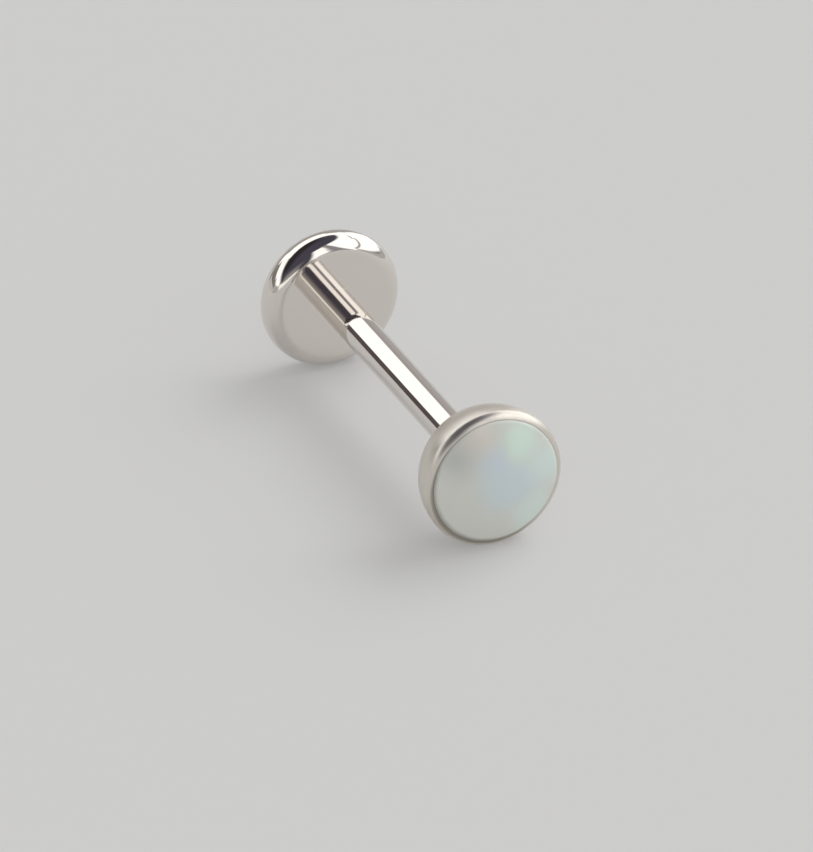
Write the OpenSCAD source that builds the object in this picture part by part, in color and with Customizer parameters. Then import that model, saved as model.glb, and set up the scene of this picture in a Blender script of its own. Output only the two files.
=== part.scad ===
// Threadless stud: a hollow post on a flat disc, and a bezel-set opal whose pin presses into the post.
// The stud lies on its side, as it does on a table, and touches the table with its two round rims.
// The opal faces -Y, the disc is at +Y, and the origin is under the middle of the stud.

/* [Rims] */
// Diameter of the back disc and of the bezel, which are alike, so that the stud lies level
rim_d = 4.0; // [3.6:0.1:5]

/* [Post] */
// Outside diameter of the post, which is 18 gauge
post_d = 1.0; // [0.9:0.1:1.3]
// Length of the worn stretch, from the disc's inner face to the back of the top
post_l = 9.5; // [6:0.5:12]
// Width of the chamfer round the post's open end
post_chamfer = 0.05; // [0.02:0.01:0.08]

/* [Back disc] */
// Thickness of the disc
disc_t = 0.87; // [0.85:0.01:1]
// Radius of the shoulder round the face on the post's side
shoulder_r = 0.45; // [0.35:0.01:0.5]
// Radius of the slightly bowed rim, which runs on from the shoulder
rim_bow_r = 0.59; // [0.5:0.01:0.6]
// Where the rim's bow starts and ends, as the slope of its surface from the disc's face in degrees
rim_bow = [72, 120];

/* [Bezel] */
// Height of the bezel cup, from its back to the top of its lip
bezel_h = 1.5; // [1.45:0.05:1.8]
// Width of the lip, from the cup's wall to the stone
lip_w = 0.18; // [0.16:0.01:0.24]
// Radius of the lip's outer round
lip_r = 0.24; // [0.2:0.01:0.3]
// Height of the rim of full width, from its lower end to the top of the lip
wall_h = 0.36; // [0.32:0.01:0.4]
// Radius of the bowl below the wall
bowl_r = 1.5; // [1.3:0.1:1.6]
// Where the bowl rounds over into the flat back, as the slope of its surface in degrees
bowl_end = 130; // [120:1:135]
// Depth of the seat that holds the stone
seat_h = 0.65; // [0.5:0.05:0.7]
// How far the seat's wall leans in over the stone, from its floor to the lip
wall_lean = 0.04; // [0:0.01:0.05]

/* [Opal] */
// Height of the opal's dome above the lip
dome_h = 0.35; // [0.2:0.05:0.8]

/* [Pin] */
// Diameter of the pin on the back of the top
pin_d = 0.58; // [0.4:0.01:0.7]
// Length of the pin
pin_l = 4; // [2:0.1:4.2]
// Length of the post's hole that stays empty past the pin's tip
tip_room = 1.0; // [0.5:0.1:1.5]

/* [Fit] */
// Clearance left where two pieces meet
gap = 0.03; // [0.02:0.005:0.04]

/* [Hidden] */
$fn = 96;

rim_r = rim_d / 2;
// Heights above the disc's outer back, measured along the stud
post_end = disc_t + post_l;
cup_back = post_end + gap;
lip_top = cup_back + bezel_h;
seat_floor = lip_top - seat_h;
overall_l = lip_top + dome_h;
// The seat narrows from its floor to the lip
seat_top_r = rim_r - lip_w;
seat_floor_r = seat_top_r + wall_lean;
// The stone is smaller than its seat by the clearance all round
stone_top_r = seat_top_r - gap;
stone_floor_r = seat_floor_r - gap;
dome_r = (pow(stone_top_r, 2) + pow(dome_h, 2)) / (2 * dome_h);
// Blind hole in the post
bore_d = pin_d + 2 * gap;
bore_depth = pin_l + tip_room;
// Cuts run past the surface that they open by this much
past = 0.1;

// Lays a piece that is modelled upright on its side, over the origin, with its seam at the top
module laid_down() {
    translate([0, overall_l / 2, rim_r])
        rotate([90, 0, 0])
            rotate([0, 0, 90])
                children();
}

// The way that a surface faces when it slopes by this angle from the disc's face
function facing(angle) = [sin(angle), cos(angle)];

// The part of a round outline between two slopes of its surface, filled in to the round's centre
module round_stretch(centre, radius, first, last) {
    reach = 2 * radius;
    intersection() {
        translate(centre)
            circle(r = radius);
        polygon([
            centre,
            centre + reach * facing(first),
            centre + reach * facing((first + last) / 2),
            centre + reach * facing(last)
        ]);
    }
}

// Half of the disc's section: two flats, joined by a shoulder, a bowed rim and a tight back edge
module disc_section() {
    bow_start = facing(rim_bow[0]);
    bow_end = facing(rim_bow[1]);
    face_r = rim_r - rim_bow_r + (rim_bow_r - shoulder_r) * bow_start[0];
    shoulder_centre = [face_r, disc_t - shoulder_r];
    bow_centre = shoulder_centre - (rim_bow_r - shoulder_r) * bow_start;
    bow_foot = bow_centre + rim_bow_r * bow_end;
    // The back edge starts at the bow's foot and ends level with the disc's back
    back_edge_r = bow_foot[1] / (1 + bow_end[1]);
    back_centre = bow_foot - back_edge_r * bow_end;
    polygon([
        [0, 0],
        [back_centre[0], 0],
        bow_foot,
        shoulder_centre + shoulder_r * bow_start,
        [face_r, disc_t],
        [0, disc_t]
    ]);
    round_stretch(shoulder_centre, shoulder_r, 0, rim_bow[0]);
    round_stretch(bow_centre, rim_bow_r, rim_bow[0], rim_bow[1]);
    round_stretch(back_centre, back_edge_r, rim_bow[1], 180);
}

// Half of the post's section, from inside the disc to the chamfer at its open end
module post_section() {
    post_r = post_d / 2;
    polygon([
        [0, disc_t / 2],
        [post_r, disc_t / 2],
        [post_r, post_end - post_chamfer],
        [post_r - post_chamfer, post_end],
        [0, post_end]
    ]);
}

// Half of the bezel cup's outer section: a flat back, a bowl, a short straight wall and a rounded lip
module cup_section() {
    bowl_centre = [rim_r - bowl_r, bezel_h - wall_h];
    bowl_foot = bowl_centre + bowl_r * facing(bowl_end);
    back_edge_r = bowl_foot[1] / (1 + facing(bowl_end)[1]);
    back_centre = bowl_foot - back_edge_r * facing(bowl_end);
    lip_centre = [rim_r - lip_r, bezel_h - lip_r];
    polygon([
        [0, 0],
        [back_centre[0], 0],
        bowl_foot,
        [rim_r, bowl_centre[1]],
        [rim_r, lip_centre[1]],
        [lip_centre[0], bezel_h],
        [0, bezel_h]
    ]);
    round_stretch(lip_centre, lip_r, 0, 90);
    round_stretch(bowl_centre, bowl_r, 90, bowl_end);
    round_stretch(back_centre, back_edge_r, bowl_end, 180);
}

// The disc and the post are one turned piece, drilled from the open end for the pin
module flatback_post() {
    color([0.78, 0.76, 0.73])
        laid_down()
            difference() {
                rotate_extrude() {
                    disc_section();
                    post_section();
                }
                translate([0, 0, post_end - bore_depth])
                    cylinder(d = bore_d, h = bore_depth + past);
            }
}

// The cup and the pin are soldered into one piece, and the pin stands in the post
module bezel_cup() {
    color([0.80, 0.78, 0.74])
        laid_down() {
            difference() {
                translate([0, 0, cup_back])
                    rotate_extrude()
                        cup_section();
                translate([0, 0, seat_floor])
                    cylinder(r1 = seat_floor_r, r2 = seat_top_r, h = seat_h);
                translate([0, 0, lip_top - gap])
                    cylinder(r = seat_top_r, h = gap + past);
            }
            translate([0, 0, cup_back - pin_l])
                cylinder(d = pin_d, h = pin_l + (bezel_h - seat_h) / 2);
        }
}

// The opal is a low round cabochon with a tapered girdle, which the leaning wall holds down
module opal_cabochon() {
    color([0.80, 0.85, 0.84])
        laid_down() {
            translate([0, 0, seat_floor + gap])
                cylinder(r1 = stone_floor_r, r2 = stone_top_r, h = seat_h - gap);
            intersection() {
                translate([0, 0, lip_top + dome_h - dome_r])
                    sphere(r = dome_r);
                translate([0, 0, lip_top])
                    cylinder(r = stone_top_r, h = dome_h + past);
            }
        }
}

flatback_post();
bezel_cup();
opal_cabochon();
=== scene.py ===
# A threadless stud that lies on its side: a straight post on a flat disc, and a bezel-set opal.
import math

import bpy
from mathutils import Matrix, Vector


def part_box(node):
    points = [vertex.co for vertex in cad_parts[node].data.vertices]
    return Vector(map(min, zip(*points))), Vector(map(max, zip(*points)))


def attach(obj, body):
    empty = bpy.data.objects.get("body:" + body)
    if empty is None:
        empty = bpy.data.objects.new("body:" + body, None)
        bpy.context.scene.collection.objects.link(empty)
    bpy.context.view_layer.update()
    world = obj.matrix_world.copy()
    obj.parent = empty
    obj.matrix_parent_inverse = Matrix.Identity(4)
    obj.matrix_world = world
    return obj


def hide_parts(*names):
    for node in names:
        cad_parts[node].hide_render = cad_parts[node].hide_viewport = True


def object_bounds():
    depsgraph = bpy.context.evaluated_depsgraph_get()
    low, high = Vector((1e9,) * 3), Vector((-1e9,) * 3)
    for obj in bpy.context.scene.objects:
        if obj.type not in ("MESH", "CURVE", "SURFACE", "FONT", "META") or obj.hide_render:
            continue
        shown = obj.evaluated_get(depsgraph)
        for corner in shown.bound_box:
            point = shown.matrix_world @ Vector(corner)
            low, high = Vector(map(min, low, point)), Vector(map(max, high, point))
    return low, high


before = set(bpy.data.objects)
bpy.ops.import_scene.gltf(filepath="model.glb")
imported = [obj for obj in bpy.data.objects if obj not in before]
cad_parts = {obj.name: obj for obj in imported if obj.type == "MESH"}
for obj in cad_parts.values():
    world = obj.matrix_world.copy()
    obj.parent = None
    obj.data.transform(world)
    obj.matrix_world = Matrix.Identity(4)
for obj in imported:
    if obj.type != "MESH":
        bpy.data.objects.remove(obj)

cad_low, cad_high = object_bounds()
scene = bpy.context.scene


# The camera looks down on the stud from the opal's end, a little from the left.
# It stands well back with a long lens, as for a close-up of so small a thing.
MM = 0.001
camera_azimuth = math.radians(-23.11)
camera_elevation = math.radians(28.34)
camera_distance = 0.45
# The focal length and the size of the picture, in its pixels
lens_px = 16524
picture_w, picture_h = 813, 852
# A point of the stud's axis, and where the picture shows it
aim_point = Vector((0, -0.195 * MM, 2.0 * MM))
aim_px = (414.1, 390.7)

to_camera = Vector((
    math.sin(camera_azimuth) * math.cos(camera_elevation),
    -math.cos(camera_azimuth) * math.cos(camera_elevation),
    math.sin(camera_elevation),
))
picture_right = Vector((math.cos(camera_azimuth), math.sin(camera_azimuth), 0))
picture_up = to_camera.cross(picture_right)
metres_per_px = camera_distance / lens_px
picture_centre = (
    aim_point
    + picture_right * (picture_w / 2 - aim_px[0]) * metres_per_px
    - picture_up * (picture_h / 2 - aim_px[1]) * metres_per_px
)

lens = bpy.data.cameras.new("close_up_lens")
lens.sensor_width = 36
lens.lens = lens_px * lens.sensor_width / max(picture_w, picture_h)
lens.clip_start = 0.01
lens.clip_end = 10
camera = bpy.data.objects.new("close_up_camera", lens)
turn = Matrix((picture_right, picture_up, to_camera)).transposed()
camera.matrix_world = Matrix.Translation(picture_centre + to_camera * camera_distance) @ turn.to_4x4()
scene.collection.objects.link(camera)
scene.camera = camera
scene.view_settings.view_transform = "Standard"


# The floor is plain, pale and matt. It glows a little, so that it takes only soft and light shadows.
# It reaches far enough to fill every view.
floor_half = 1.5
floor_colour = (0.455, 0.453, 0.450, 1)
floor_roughness = 0.6
floor_specular = 0.2
floor_glow = (0.20, 0.199, 0.197, 1)


def set_inputs(node, values):
    """Sets a node's inputs. A value that is an output of another node is linked."""
    for name, value in values.items():
        if isinstance(value, bpy.types.NodeSocket):
            node.id_data.links.new(value, node.inputs[name])
        else:
            node.inputs[name].default_value = value


floor_mesh = bpy.data.meshes.new("floor")
floor_corners = [
    (-floor_half, -floor_half, 0),
    (floor_half, -floor_half, 0),
    (floor_half, floor_half, 0),
    (-floor_half, floor_half, 0),
]
floor_mesh.from_pydata(floor_corners, [], [(0, 1, 2, 3)])
floor = bpy.data.objects.new("floor", floor_mesh)
scene.collection.objects.link(floor)
pale_floor = bpy.data.materials.new("pale_floor")
pale_floor.use_nodes = True
set_inputs(pale_floor.node_tree.nodes["Principled BSDF"], {
    "Base Color": floor_colour,
    "Roughness": floor_roughness,
    "Specular IOR Level": floor_specular,
    "Emission Color": floor_glow,
    "Emission Strength": 1,
})
floor_mesh.materials.append(pale_floor)


# The light is a soft studio: bright windows and strips round the stud, with dim walls and screens between
# them. They stand far off, so they are part of the world's light. Polished surfaces show them, and matt
# ones take an even fill, a weak front light and a soft key light from the right.

# Each panel has these sizes in degrees, and a colour. The azimuth goes from straight behind the stud
# towards its right. A later panel hangs in front of an earlier one.
panel_sizes = ("Azimuth", "Elevation", "Roll", "Half Width", "Half Height", "Softness")
panels = {
    "dark_screen": (-80, 56, -43, 38, 15, 22, (0.030, 0.026, 0.026)),
    "left_wall": (-95, 1, 0, 62, 8, 3, (0.57, 0.565, 0.555)),
    "low_haze": (-150, 9, 0, 16, 10, 18, (0.34, 0.325, 0.32)),
    "low_strip": (-150, 3.5, -6, 24, 3.5, 5, (1.1, 1.1, 1.05)),
    "back_window": (12, 38, 11, 50, 17, 3, (1.35, 1.35, 1.35)),
    "left_sill": (-64, 17, -6, 27, 7.5, 4, (0.24, 0.225, 0.21)),
    "left_strip": (-82, 27, -26, 42, 8, 9, (1.3, 1.3, 1.3)),
    "left_strip_foot": (-56, 29, -17, 22, 6, 3, (1.3, 1.3, 1.3)),
    "strip_end": (-108, 2.5, -8, 14, 7, 3, (0.46, 0.45, 0.44)),
    "wall_end": (-27, 6, 0, 11, 11, 3, (0.47, 0.455, 0.445)),
    "back_window_foot": (-27, 28, 0, 7.5, 11.5, 2, (1.35, 1.35, 1.35)),
    "right_window": (105, 37.5, -1, 51, 27, 6, (1.4, 1.4, 1.4)),
    "right_window_foot": (50, 6, 0, 11, 7, 4, (1.4, 1.4, 1.4)),
    "window_bar": (119, 29, 35, 32, 1.5, 2, (0.35, 0.35, 0.35)),
    "window_top_bar": (76, 46, 0, 11, 1.5, 2, (0.45, 0.45, 0.45)),
    "right_wall": (103, 1, 0, 42, 6.5, 4, (0.47, 0.465, 0.455)),
    "rear_gap": (160.5, 24, 9, 4.5, 32, 4, (0.30, 0.29, 0.31)),
    "rear_window": (173.5, 24, 12, 7, 23, 6, (1.3, 1.3, 1.3)),
    "back_wall": (10, 6, -3, 28, 23.5, 4, (0.45, 0.435, 0.43)),
    "back_patch": (25, 27.5, 8.5, 5.5, 7.5, 2, (0.41, 0.385, 0.385)),
    "far_edge": (-9, 17, -11, 27, 3, 4, (0.31, 0.295, 0.285)),
    "window_frame": (-34.7, 7, 12, 1.8, 10, 1.5, (0.095, 0.08, 0.08)),
}
base_light = (0.07, 0.065, 0.09, 1)
# The soft light on matt surfaces: an even fill, and panels given as above
fill_light = (0.50, 0.50, 0.50, 1)
soft_panels = {
    "front": (150, 35, 0, 60, 25, 20, (0.8, 0.8, 0.8)),
    "key": (76, 42, 0, 22, 16, 16, (4.0, 4.0, 3.95)),
}
backdrop_colour = (0.60, 0.597, 0.59, 1)


def add_node(tree, kind, values, **settings):
    """Adds a node with its settings, and sets its inputs."""
    node = tree.nodes.new(kind)
    for name, value in settings.items():
        setattr(node, name, value)
    set_inputs(node, values)
    return node


def math_of(tree, operation, *values):
    """A math node on numbers and outputs."""
    return add_node(tree, "ShaderNodeMath", dict(enumerate(values)), operation=operation).outputs[0]


def blend_colours(tree, mask, behind, front):
    """Covers one colour with another by a mask. Each is a colour or an output that gives one."""
    blend = add_node(tree, "ShaderNodeMix", {"Factor": mask, "A": behind, "B": front}, data_type="RGBA")
    return blend.outputs["Result"]


def new_group(name, kind, inputs, outputs):
    """Starts a node group. Returns it, the outputs that stand for its inputs, and the node that ends it."""
    tree = bpy.data.node_groups.new(name, kind)
    for way, sockets in (("INPUT", inputs), ("OUTPUT", outputs)):
        for socket, socket_kind in sockets.items():
            tree.interface.new_socket(socket, in_out=way, socket_type="NodeSocket" + socket_kind)
    return tree, tree.nodes.new("NodeGroupInput").outputs, tree.nodes.new("NodeGroupOutput")


def panel_group():
    """A soft-edged panel far off in the studio: 1 inside it and 0 outside."""
    tree, given, end = new_group(
        "light_panel", "ShaderNodeTree", dict.fromkeys(panel_sizes, "Float"), {"Mask": "Float"}
    )
    # Turn the view about so that the panel's middle lies straight ahead, along +Y
    way = tree.nodes.new("ShaderNodeTexCoord").outputs["Generated"]
    for axis, name, sign in (("Z_AXIS", "Azimuth", 1), ("X_AXIS", "Elevation", -1), ("Y_AXIS", "Roll", -1)):
        angle = math_of(tree, "MULTIPLY", math_of(tree, "RADIANS", given[name]), sign)
        turned_view = add_node(
            tree, "ShaderNodeVectorRotate", {"Vector": way, "Angle": angle}, rotation_type=axis
        )
        way = turned_view.outputs[0]
    x, y, z = add_node(tree, "ShaderNodeSeparateXYZ", {0: way}).outputs
    half_soft = math_of(tree, "MULTIPLY", given["Softness"], 0.5)
    masks = []
    for angle, half in (
        (math_of(tree, "ARCTAN2", x, y), given["Half Width"]),
        (math_of(tree, "ARCSINE", z), given["Half Height"]),
    ):
        edge = add_node(tree, "ShaderNodeMapRange", {
            "Value": math_of(tree, "ABSOLUTE", math_of(tree, "DEGREES", angle)),
            "From Min": math_of(tree, "SUBTRACT", half, half_soft),
            "From Max": math_of(tree, "ADD", half, half_soft),
            "To Min": 1,
            "To Max": 0,
        }, interpolation_type="SMOOTHSTEP")
        masks.append(edge.outputs["Result"])
    set_inputs(end, {"Mask": math_of(tree, "MULTIPLY", *masks)})
    return tree


light_panel = panel_group()
world = bpy.data.worlds.new("daylight_studio")
scene.world = world
world.use_nodes = True
sky = world.node_tree
sky.nodes.clear()


def background(colour):
    """A background of one colour, or of the light that an output gives."""
    return add_node(sky, "ShaderNodeBackground", {"Color": colour}).outputs[0]


def hang_all(wanted, light):
    """Hangs a row of panels in front of an even light."""
    for *place, rgb in wanted.values():
        panel = add_node(sky, "ShaderNodeGroup", dict(zip(panel_sizes, place)), node_tree=light_panel)
        light = blend_colours(sky, panel.outputs["Mask"], light, (*rgb, 1))
    return background(light)


def either(share, otherwise, wanted):
    """Shows the wanted background by this share, and the other background by the rest."""
    return add_node(sky, "ShaderNodeMixShader", {0: share, 1: otherwise, 2: wanted}).outputs[0]


studio = hang_all(panels, base_light)
soft_light = hang_all(soft_panels, fill_light)
rays = sky.nodes.new("ShaderNodeLightPath").outputs
# What a matt surface has scattered comes from the soft light, also where polished metal mirrors it
not_scattered = math_of(sky, "LESS_THAN", rays["Diffuse Depth"], 0.5)
mirrored = math_of(sky, "MULTIPLY", rays["Is Glossy Ray"], not_scattered)
seen = either(rays["Is Camera Ray"], either(mirrored, soft_light, studio), background(backdrop_colour))
add_node(sky, "ShaderNodeOutputWorld", {"Surface": seen})


# The post and its back disc are one turned piece of polished metal, bored for the pin.
# The disc has a round shoulder on the post's side, a slightly bowed rim and a tight back edge.
# The frame gives the stud's length, and the height of its two rims, which rest on the floor
overall_l = cad_high[1] - cad_low[1]
rim_r = cad_high[2] / 2
# Heights along the stud are measured from the disc's outer back
post_low, post_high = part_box("flatback_post")
post_end = post_high[1] - post_low[1]
post_r = 0.5 * MM
post_chamfer = 0.05 * MM
bore_r = 0.32 * MM
bore_depth = 5.0 * MM
disc_t = 0.87 * MM
# The disc's shoulder and rim: the radius of each arc, and the slope of the surface where it ends
disc_front_arcs = ((0.45 * MM, 72), (0.59 * MM, 120))
steps_round = 256
edge_support = 0.003 * MM
warm_metal = (0.80, 0.755, 0.71, 1)
post_roughness = (0.03, 0.07)
post_cloud_scale = 1500
# Most of a noise's values lie between these
noise_low, noise_high = 0.35, 0.7
wave_scale = 900
wave_height = 0.004 * MM


def straight(section, r, h):
    """Carries a section on in a straight line, with a point close to each end so that it shades flat."""
    start = Vector(section[-1])
    end = Vector((r, h))
    way = end - start
    if way.length > 3 * edge_support:
        inset = way.normalized() * edge_support
        section.append(tuple(start + inset))
        section.append(tuple(end - inset))
    section.append((r, h))


def arc(section, centre, radius, first, last, step=3):
    """Carries a section on round an arc, by steps of a few degrees, between two slopes of its surface.
    A slope of 0 faces the opal's way, 90 faces outwards and 180 faces the disc's way."""
    steps = max(2, round(abs(last - first) / step))
    for i in range(1, steps + 1):
        angle = math.radians(first + (last - first) * i / steps)
        section.append((centre[0] + radius * math.sin(angle), centre[1] + radius * math.cos(angle)))


def tangent_arcs(section, arcs):
    """Carries a section on from slope 0, over arcs that run into each other: radii and last slopes."""
    angle = 0
    for radius, end_angle in arcs:
        r, h = section[-1]
        slope = math.radians(angle)
        centre = (r - radius * math.sin(slope), h - radius * math.cos(slope))
        arc(section, centre, radius, angle, end_angle)
        angle = end_angle


def reach(arcs, first, last):
    """How far out and how far back a run of tangent arcs goes between two of its slopes."""
    out, back, start = 0, 0, 0
    for radius, end in arcs:
        a, b = (math.radians(min(max(angle, first), last)) for angle in (start, end))
        out += radius * (math.sin(b) - math.sin(a))
        back += radius * (math.cos(a) - math.cos(b))
        start = end
    return out, back


def lathe_group():
    """Turns a section about the stud's axis and lays the form on its side."""
    tree, given, end = new_group("lathe", "GeometryNodeTree", {
        "Geometry": "Geometry",
        "Steps Round": "Int",
        "Axis Height": "Float",
        "Back End": "Float",
        "Material": "Material",
    }, {"Geometry": "Geometry"})
    # The path is a circle of this radius, and the section is moved in by as much
    path_r = 0.01
    weld_distance = 1e-7
    to_curve = add_node(tree, "GeometryNodeMeshToCurve", {"Mesh": given["Geometry"]})
    inward = add_node(tree, "GeometryNodeTransform", {
        "Geometry": to_curve.outputs[0],
        "Translation": (-path_r, 0, 0),
    })
    path = add_node(tree, "GeometryNodeCurvePrimitiveCircle", {
        "Resolution": given["Steps Round"],
        "Radius": path_r,
    })
    sweep = add_node(tree, "GeometryNodeCurveToMesh", {
        "Curve": path.outputs["Curve"],
        "Profile Curve": inward.outputs[0],
    })
    weld = add_node(tree, "GeometryNodeMergeByDistance", {
        "Geometry": sweep.outputs[0],
        "Distance": weld_distance,
    })
    # The sweep leaves the faces pointing inwards
    turn_out = add_node(tree, "GeometryNodeFlipFaces", {"Mesh": weld.outputs[0]})
    place = add_node(tree, "ShaderNodeCombineXYZ", {"Y": given["Back End"], "Z": given["Axis Height"]})
    lay_down = add_node(tree, "GeometryNodeTransform", {
        "Geometry": turn_out.outputs[0],
        "Translation": place.outputs[0],
        "Rotation": (math.radians(-90), 0, 0),
    })
    smooth = add_node(tree, "GeometryNodeSetShadeSmooth", {"Geometry": lay_down.outputs[0]})
    realize = add_node(tree, "GeometryNodeRealizeInstances", {"Geometry": smooth.outputs[0]})
    finish = add_node(tree, "GeometryNodeSetMaterial", {
        "Geometry": realize.outputs[0],
        "Material": given["Material"],
    })
    set_inputs(end, {"Geometry": finish.outputs[0]})
    return tree


lathe = lathe_group()


def turned(name, section, material):
    """A piece turned from its half section, which is given as radius and height above the stud's back."""
    outline = bpy.data.meshes.new(name + "_section")
    points = [(r, h, 0) for r, h in section]
    outline.from_pydata(points, [(i, i + 1) for i in range(len(points) - 1)], [])
    blank = bpy.data.objects.new(name + "_blank", outline)
    scene.collection.objects.link(blank)
    turning = blank.modifiers.new("turning", "NODES")
    turning.node_group = lathe
    wanted = {
        "Steps Round": steps_round,
        "Axis Height": rim_r,
        "Back End": overall_l / 2,
        "Material": material,
    }
    for item in lathe.interface.items_tree:
        if item.in_out == "INPUT" and item.name in wanted:
            turning[item.identifier] = wanted[item.name]
    made = bpy.data.meshes.new_from_object(blank.evaluated_get(bpy.context.evaluated_depsgraph_get()))
    bpy.data.objects.remove(blank)
    made.name = name
    piece = bpy.data.objects.new(name, made)
    scene.collection.objects.link(piece)
    return piece


def polish_group():
    """What polishing leaves on metal: soft clouds in its gloss and a slight waviness."""
    sizes = ("Cloud Scale", "Lowest Roughness", "Highest Roughness")
    tree, given, end = new_group(
        "polish", "ShaderNodeTree", dict.fromkeys(sizes, "Float"), {"Roughness": "Float", "Height": "Float"}
    )
    where = tree.nodes.new("ShaderNodeTexCoord").outputs["Object"]
    clouds = add_node(tree, "ShaderNodeTexNoise", {
        "Vector": where,
        "Scale": given["Cloud Scale"],
        "Detail": 4,
    })
    gloss = add_node(tree, "ShaderNodeMapRange", {
        "Value": clouds.outputs["Fac"],
        "From Min": noise_low,
        "From Max": noise_high,
        "To Min": given["Lowest Roughness"],
        "To Max": given["Highest Roughness"],
    })
    waves = add_node(tree, "ShaderNodeTexNoise", {"Vector": where, "Scale": wave_scale, "Detail": 1})
    set_inputs(end, {"Roughness": gloss.outputs["Result"], "Height": waves.outputs["Fac"]})
    return tree


polish = polish_group()


def polished_metal(name, colour, cloud_scale, roughness):
    """Polished metal with its clouds and waviness. The roughness is given as its lowest and its highest."""
    metal = bpy.data.materials.new(name)
    metal.use_nodes = True
    marks = add_node(metal.node_tree, "ShaderNodeGroup", {
        "Cloud Scale": cloud_scale,
        "Lowest Roughness": roughness[0],
        "Highest Roughness": roughness[1],
    }, node_tree=polish)
    wave = add_node(metal.node_tree, "ShaderNodeBump", {
        "Strength": 1,
        "Distance": wave_height,
        "Height": marks.outputs["Height"],
    })
    set_inputs(metal.node_tree.nodes["Principled BSDF"], {
        "Base Color": colour,
        "Metallic": 1,
        "Roughness": marks.outputs["Roughness"],
        "Normal": wave.outputs["Normal"],
    })
    return metal


post_metal = polished_metal("post_metal", warm_metal, post_cloud_scale, post_roughness)
front_depth = reach(disc_front_arcs, 0, 180)[1]
front_end = math.radians(disc_front_arcs[-1][1])
back_edge_r = (disc_t - front_depth) / (1 + math.cos(front_end))
disc_arcs = (*disc_front_arcs, (back_edge_r, 180))
flat_r = rim_r - reach(disc_arcs, 0, 90)[0]
post_section = [(0, post_end - bore_depth)]
straight(post_section, bore_r, post_end - bore_depth)
straight(post_section, bore_r, post_end)
straight(post_section, post_r - post_chamfer, post_end)
straight(post_section, post_r, post_end - post_chamfer)
straight(post_section, post_r, disc_t)
straight(post_section, flat_r, disc_t)
tangent_arcs(post_section, disc_arcs)
straight(post_section, 0, 0)
flatback_post = turned("post_and_disc", post_section, post_metal)
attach(flatback_post, "root")
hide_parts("flatback_post")


# The bezel cup is soldered to the pin that stands in the post. It is turned from the same metal, with a
# flat back, a bowl that runs up to the rim, and a rounded lip that was pushed over the stone's edge.
gap = 0.03 * MM
cup_h = 1.5 * MM
lip_w = 0.18 * MM
lip_round = 0.24 * MM
# The bowl is widest this far below the top of the lip, and ends where its surface has this slope
wall_h = 0.26 * MM
bowl_r = 1.8 * MM
bowl_end = 130
seat_h = 0.65 * MM
# The seat's wall leans in over the stone by this much
wall_lean = 0.04 * MM
pin_r = 0.29 * MM
pin_l = 4 * MM
bezel_colour = (0.75, 0.71, 0.645, 1)
bezel_roughness = (0.33, 0.39)
bezel_cloud_scale = 1800
# Painted shade: beside the stone the bezel's colour is darker, most on the lower left, standing in for the
# floor's shadow that the lip mirrors there. The darker part lies in a ball ahead of the lip. In mm: how far
# its middle is from the lip's to the right, up and ahead, its radius at the lip, how soft its edge is, and
# how far that wanders
lip_shade_colour = (0.38, 0.35, 0.30, 1)
lip_shade_right, lip_shade_up, lip_shade_ahead = -0.08, -0.09, 1.0
lip_shade_r = 1.82
lip_shade_softness = 0.05
lip_shade_wander = 0.05
patch_noise_scale = 1100


def patch_group():
    """A round patch with a soft edge that wanders: its strength inside it and 0 outside."""
    tree, given, end = new_group("soft_patch", "ShaderNodeTree", {
        "Middle": "Vector",
        "Radius": "Float",
        "Softness": "Float",
        "Strength": "Float",
        "Wander": "Float",
    }, {"Mask": "Float"})

    def vector_math(operation, values):
        return add_node(tree, "ShaderNodeVectorMath", values, operation=operation)

    where = tree.nodes.new("ShaderNodeTexCoord").outputs["Object"]
    noise = add_node(tree, "ShaderNodeTexNoise", {"Vector": where, "Scale": patch_noise_scale, "Detail": 3})
    centred = vector_math("SUBTRACT", {0: noise.outputs["Color"], 1: (0.5, 0.5, 0.5)})
    wander = vector_math("SCALE", {0: centred.outputs[0], "Scale": given["Wander"]})
    shifted = vector_math("ADD", {0: wander.outputs[0], 1: where})
    away = vector_math("DISTANCE", {0: shifted.outputs[0], 1: given["Middle"]})
    fade = add_node(tree, "ShaderNodeMapRange", {
        "Value": away.outputs["Value"],
        "From Min": math_of(tree, "SUBTRACT", given["Radius"], given["Softness"]),
        "From Max": math_of(tree, "ADD", given["Radius"], given["Softness"]),
        "To Min": given["Strength"],
        "To Max": 0,
    }, interpolation_type="SMOOTHSTEP")
    set_inputs(end, {"Mask": fade.outputs["Result"]})
    return tree


soft_patch = patch_group()


def patch_mask(material, middle, radius, softness, strength, wander):
    """Places a patch in a material. Its middle is a point in metres, and its sizes are in mm."""
    return add_node(material.node_tree, "ShaderNodeGroup", {
        "Middle": middle,
        "Radius": radius * MM,
        "Softness": softness * MM,
        "Strength": strength,
        "Wander": wander * MM,
    }, node_tree=soft_patch).outputs["Mask"]


cup_back = post_end + gap
lip_top = cup_back + cup_h
seat_r = rim_r - lip_w
seat_floor = lip_top - seat_h

bezel_metal = polished_metal("bezel_metal", bezel_colour, bezel_cloud_scale, bezel_roughness)
# Painted shade: the bezel's colour darkens beside the stone, most on the lower left
lip_shade_middle = (lip_shade_right * MM, overall_l / 2 - lip_top - lip_shade_ahead * MM, rim_r + lip_shade_up * MM)
lip_shade_ball_r = math.hypot(lip_shade_r, lip_shade_ahead)
lip_shade_mask = patch_mask(bezel_metal, lip_shade_middle, lip_shade_ball_r, lip_shade_softness, 1, lip_shade_wander)
set_inputs(bezel_metal.node_tree.nodes["Principled BSDF"], {
    "Base Color": blend_colours(bezel_metal.node_tree, lip_shade_mask, bezel_colour, lip_shade_colour),
})

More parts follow.
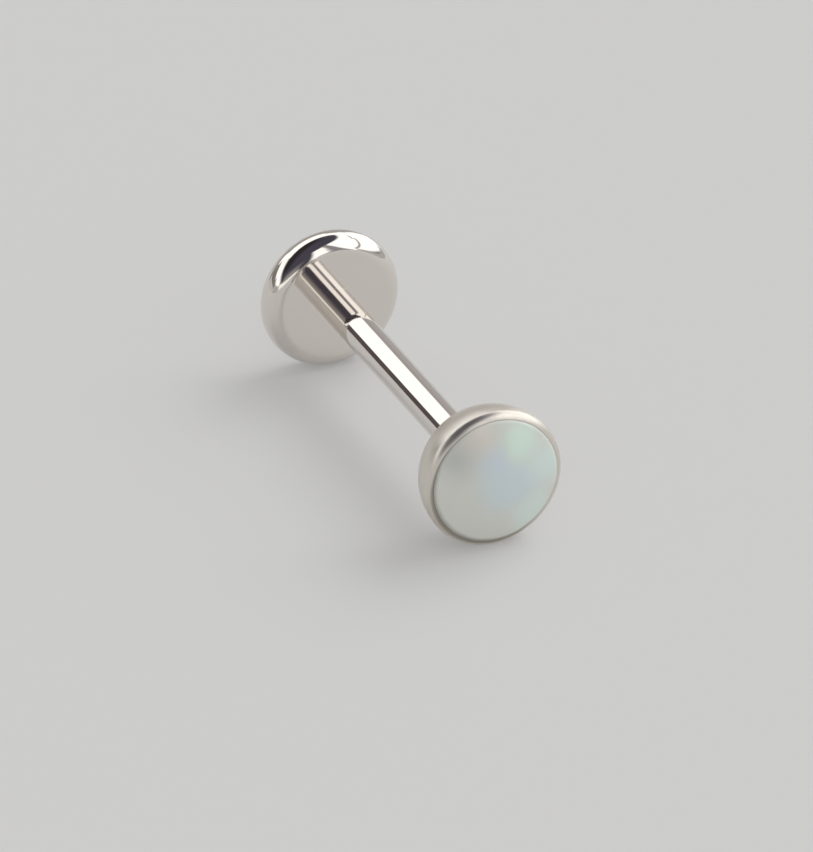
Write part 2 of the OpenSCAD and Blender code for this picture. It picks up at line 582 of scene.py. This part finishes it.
# The lip's round runs into the bowl where both have this slope
lip_end = math.degrees(math.acos((wall_h - lip_round) / (bowl_r - lip_round)))
bowl_centre = (rim_r - bowl_r, lip_top - wall_h)
lip_centre = (bowl_centre[0] + (bowl_r - lip_round) * math.sin(math.radians(lip_end)), lip_top - lip_round)
lip_start = math.degrees(math.asin((seat_r - lip_centre[0]) / lip_round))
# The bowl rounds over into the flat back
bowl_foot_h = cup_h - wall_h + bowl_r * math.cos(math.radians(bowl_end))
cup_back_round = bowl_foot_h / (1 + math.cos(math.radians(bowl_end)))
cup_section = [(0, seat_floor)]
straight(cup_section, seat_r + wall_lean, seat_floor)
straight(cup_section, seat_r, lip_top - gap)
straight(cup_section, seat_r, lip_centre[1] + lip_round * math.cos(math.radians(lip_start)))
arc(cup_section, lip_centre, lip_round, lip_start, lip_end)
arc(cup_section, bowl_centre, bowl_r, lip_end, bowl_end)
back_round_r = cup_section[-1][0] - cup_back_round * math.sin(math.radians(bowl_end))
arc(cup_section, (back_round_r, cup_back + cup_back_round), cup_back_round, bowl_end, 180)
straight(cup_section, pin_r, cup_back)
straight(cup_section, pin_r, cup_back - pin_l)
straight(cup_section, 0, cup_back - pin_l)
bezel_cup = turned("bezel_and_pin", cup_section, bezel_metal)
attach(bezel_cup, "root")
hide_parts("bezel_cup")


# The opal is a low round cabochon of white opal, polished, with a tapered girdle that the lip holds.
# Its play of colour is soft: mint flakes, a cool blue middle and warmer milky edges.
dome_h = 0.35 * MM
stone_gap = 0.006 * MM
stone_roughness = 0.2
milky = (0.725, 0.735, 0.68, 1)
# name: place from the stone's middle to the right and up, radius and softness in mm, strength, colour
opal_flakes_and_shade = {
    "blue_middle": (0.35, 0.05, 0.85, 0.5, 1.0, (0.67, 0.76, 0.785)),
    "lilac": (-0.2, 0.75, 0.4, 0.3, 0.6, (0.65, 0.75, 0.83)),
    "mint_right": (1.5, 0.3, 0.6, 0.4, 0.9, (0.72, 0.84, 0.80)),
    "mint_low": (1.05, -1.05, 0.55, 0.35, 0.8, (0.73, 0.86, 0.80)),
    "mint": (0.68, 1.15, 0.5, 0.35, 1.0, (0.74, 0.89, 0.79)),
    "warm_top": (-0.6, 1.5, 0.5, 0.4, 0.8, (0.765, 0.71, 0.64)),
    # Painted shade: the stone's upper left edge is darker and greyer, under the lip
    "painted_shade_upper_left": (-1.2, 1.0, 0.5, 0.6, 1.0, (0.56, 0.575, 0.55)),
}
# How far the edges of the flakes and of the painted shade wander, in mm
flake_and_shade_wander = 0.5
# The lip shades the stone's edge, most at the lower left: the unshaded round, given like a flake
unshaded = (0.055, 0.06, 1.825, 0.08, 1.0)
unshaded_wander = 0.1
edge_shade = (0.40, 0.39, 0.35, 1)

stone = bpy.data.materials.new("white_opal")
stone.use_nodes = True


def stone_mask(wander, right, up, radius, softness, strength):
    """A patch at a place on the stone, given in mm from its middle."""
    middle = (right * MM, dome_h / 2 - overall_l / 2, rim_r + up * MM)
    return patch_mask(stone, middle, radius, softness, strength, wander)


stone_colour = milky
# The flakes, and the painted shade at the upper left, cover the milky colour
for *place, rgb in opal_flakes_and_shade.values():
    stone_colour = blend_colours(stone.node_tree, stone_mask(flake_and_shade_wander, *place), stone_colour, (*rgb, 1))
in_light = stone_mask(unshaded_wander, *unshaded)
set_inputs(stone.node_tree.nodes["Principled BSDF"], {
    "Base Color": blend_colours(stone.node_tree, in_light, edge_shade, stone_colour),
    "Roughness": stone_roughness,
})

stone_top_r = seat_r - stone_gap
dome_r = (stone_top_r ** 2 + dome_h ** 2) / (2 * dome_h)
dome_half_angle = math.degrees(math.asin(stone_top_r / dome_r))
stone_section = [(0, lip_top + dome_h)]
arc(stone_section, (0, lip_top + dome_h - dome_r), dome_r, 0, dome_half_angle, step=1)
straight(stone_section, seat_r + wall_lean - stone_gap, seat_floor + stone_gap)
straight(stone_section, 0, seat_floor + stone_gap)
opal = turned("opal", stone_section, stone)
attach(opal, "root")
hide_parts("opal_cabochon")
